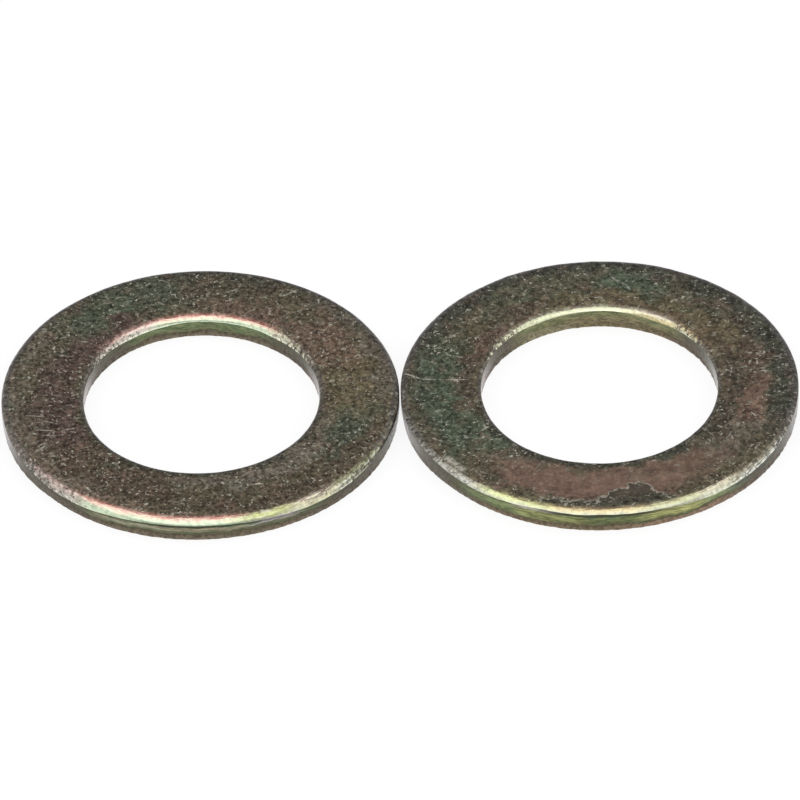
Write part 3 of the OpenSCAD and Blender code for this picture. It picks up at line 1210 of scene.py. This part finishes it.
# Bearings between which the washer's right half starts, how much of this painted sheen the rim
# has there, and its tint in the bore
RIGHT_HALF = (-10, 30)
RIGHT_SHEEN = {"left": 0.0, "right": 0.6}
RIGHT_SHEEN_TINT = {"left": BLUSH, "right": PEARL}


def painted_end_sheen(tree, at, side, nearness, wall):
    """The walls' colour with the painted sheen of the left and right ends."""
    on_right = sideways_share(tree, at, *RIGHT_HALF)
    on_rim = between(tree, on_right, 1.0, RIGHT_SHEEN[side])
    in_bore = rise(tree, at["zone"], *SHEEN_BORE)
    amount = times(tree, rise(tree, nearness, *SHEEN_IN), rise(tree, nearness, *SHEEN_OUT))
    amount = times(tree, amount, between(tree, at["at_rim"], in_bore, on_rim))
    uneven = drift(tree, at["point"], SHEEN_NOISE, SHEEN_THIN * SHEEN_STRENGTH, SHEEN_STRENGTH)
    tint = paint(tree, at["at_rim"], paint(tree, on_right, BLUSH, RIGHT_SHEEN_TINT[side]), LAVENDER)
    return paint(tree, times(tree, amount, uneven), wall, tint)


# %% The painted shade under the crease
# Zones between which it comes in, and between which it fades again
LINE_TOP = (0.96, 1.03)
LINE_FOOT = (1.36, 1.16)
# How dark it is, by the nearness, and how much of that it has in the bore
LINE_STRENGTH = (0.92, 0.985, 0.12, 0.92)
BORE_LINE = 0.2


def painted_crease_shade(tree, at, nearness):
    """How dark the painted shade under the crease is."""
    line = times(tree, rise(tree, at["zone"], *LINE_TOP), rise(tree, at["zone"], *LINE_FOOT))
    line = times(tree, line, rise(tree, nearness, *LINE_STRENGTH))
    return times(tree, line, between(tree, at["at_rim"], BORE_LINE, 1.0))


# %% [markdown]
# Colour is half of a finish, and gloss is the other half. The flats are dull and uneven, the
# rolled shoulder is smooth, and so is the land, while the broken zone is rough. The bump takes
# the speckle's height on the flats, the streaks' on the land and the grain's where it broke.

# %% Gloss and bump
FLAT_NOISE = (1.4, 3.0, 0.6, 0.35, 0.65)
FLAT_ROUGHNESS = (0.34, 0.48)
SHOULDER_ROUGHNESS = 0.26
LAND_ROUGHNESS = 0.32
BROKEN_ROUGHNESS = 0.52
# How much of its roughness a wall keeps, by the nearness: less from the washer's ends on
END_GLOSS = (*SHEEN_IN, 1.0, 0.55)
BUMP_MM = 0.016
# How high the land's streaks are beside the broken zone's grain
STREAK_HEIGHT = 0.6


def gloss(tree, at, film_there, nearness, on_wall, on_broken):
    """Roughness from the flat to the lower edge."""
    flat = drift(tree, at["point"], FLAT_NOISE, *FLAT_ROUGHNESS)
    flat = between(tree, film_there, flat, SHOULDER_ROUGHNESS)
    wall = between(tree, on_broken, LAND_ROUGHNESS, BROKEN_ROUGHNESS)
    wall = times(tree, wall, rise(tree, nearness, *END_GLOSS))
    return between(tree, on_wall, flat, wall)


def relief(tree, flat_height, calm, streaks, rough, on_wall, on_broken):
    """A Bump node from the flat to the lower edge."""
    wall_height = between(tree, on_broken, times(tree, streaks, STREAK_HEIGHT), rough)
    height = between(tree, on_wall, times(tree, flat_height, calm), wall_height)
    raised = {"Strength": 1.0, "Distance": BUMP_MM * MM, "Height": height}
    return add(tree, "ShaderNodeBump", raised).outputs[0]


# %% The whole finish
# Zones between which the shoulder comes in, and then the lower face, which has the flat's film
SHOULDER_STARTS = (0.0, 0.05)
UNDERSIDE_STARTS = (3.0, 3.2)
# How much grey a shoulder shows where no film highlight is painted, by the nearness: partly a
# tone of its own, and more of it where the shoulder faces away, as painted shade
SHOULDER_GREY_SHADE = (-0.6, -0.1, 0.75, 0.45)
# At which nearness the painted film highlight also covers the flat's last strip
RUN_IN_NEAR = (0.40, 0.72)
# What is left of the flat's bump under the film, by the zone
CALM = (0.0, 0.3, 1.0, 0.3)


def yellow_zinc(size):
    """The finish of one washer, as a material."""
    side = size["side"]
    made = bpy.data.materials.new(f"{side} yellow zinc")
    made.use_nodes = True
    tree = made.node_tree
    metal = tree.nodes["Principled BSDF"]
    metal.inputs["Metallic"].default_value = 1.0
    at = whereabouts(tree, size)
    flat = flat_film(tree, at, side)
    streaks = die_streaks(tree, at)
    rolled, shows, nearness = shoulder(tree, at, side, streaks, flat["evenness"])
    wall, on_broken, rough = walls(tree, at, side, streaks, nearness)
    on_shoulder = rise(tree, at["zone"], *SHOULDER_STARTS)
    on_wall = past(tree, at["zone"], CREASE, LINE_BLUR)

    # The shoulder gets a grey, most where it faces away: partly painted shade
    grey_tint = lit(tree, SHOULDER_GREY[:3], flat["light"])
    grey_shaded_shoulder = paint(tree, rise(tree, nearness, *SHOULDER_GREY_SHADE), flat["colour"], grey_tint)
    colour = paint(tree, on_shoulder, flat["colour"], grey_shaded_shoulder)
    # Painted highlight: the shoulder's bright film, only where the edge faces the front
    run_in = times(tree, run_in_share(tree, at, size), rise(tree, nearness, *RUN_IN_NEAR))
    filmed = times(tree, calc(tree, "MAXIMUM", run_in, on_shoulder), shows)
    colour = paint(tree, filmed, colour, rolled)
    colour = paint(tree, flat["marks"], colour, PALE)
    # The walls, with a painted sheen at their ends
    colour = paint(tree, on_wall, colour, painted_end_sheen(tree, at, side, nearness, wall))
    # Painted shade: the dark line under the crease
    colour = paint(tree, painted_crease_shade(tree, at, nearness), colour, CREASE_SHADE)
    colour = paint(tree, rise(tree, at["zone"], *UNDERSIDE_STARTS), colour, flat["colour"])
    tree.links.new(colour, metal.inputs["Base Color"])

    film_there = times(tree, on_shoulder, shows)
    roughness = gloss(tree, at, film_there, nearness, on_wall, on_broken)
    tree.links.new(roughness, metal.inputs["Roughness"])
    calm = rise(tree, times(tree, at["zone"], shows), *CALM)
    normal = relief(tree, flat["height"], calm, streaks, rough, on_wall, on_broken)
    tree.links.new(normal, metal.inputs["Normal"])
    return made


# %% [markdown]
# ## The two washers
# Now everything comes together. Each ring gets its finish, and is moved to where the frame has its
# washer. The move and the change to metres are done to the mesh, so the object itself stays at
# the origin. The creases are marked sharp, and everything else is shaded smooth.

# %% Make both washers
# Two ends of an edge whose zones differ by less lie in one row round the ring
SAME_ROW = 0.01


def washer(size, ring, zone):
    """One finished washer as an object in place of its CAD node."""
    side = size["side"]
    name = f"{side}_washer"
    for face in ring.faces:
        face.smooth = True
    for edge in ring.edges:
        first, second = (vert[zone] for vert in edge.verts)
        if abs(first - second) < SAME_ROW and round(first, 3) in (CREASE, LAND_END, LOWER_EDGE):
            edge.smooth = False
    bmesh.ops.translate(ring, verts=ring.verts, vec=(size["centre"], 0, 0))
    bmesh.ops.scale(ring, verts=ring.verts, vec=(MM, MM, MM))
    mesh = bpy.data.meshes.new(name + "_looks")
    ring.to_mesh(mesh)
    ring.free()
    mesh.materials.append(yellow_zinc(size))
    piece = bpy.data.objects.new(name + "_looks", mesh)
    bpy.context.scene.collection.objects.link(piece)
    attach(piece, "root")
    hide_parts(name)
    return piece


for size in (left, right):
    piece = washer(size, *rings[size["side"]])
    print(piece.name, "has", len(piece.data.polygons), "faces and",
          len(piece.data.materials[0].node_tree.nodes), "nodes")
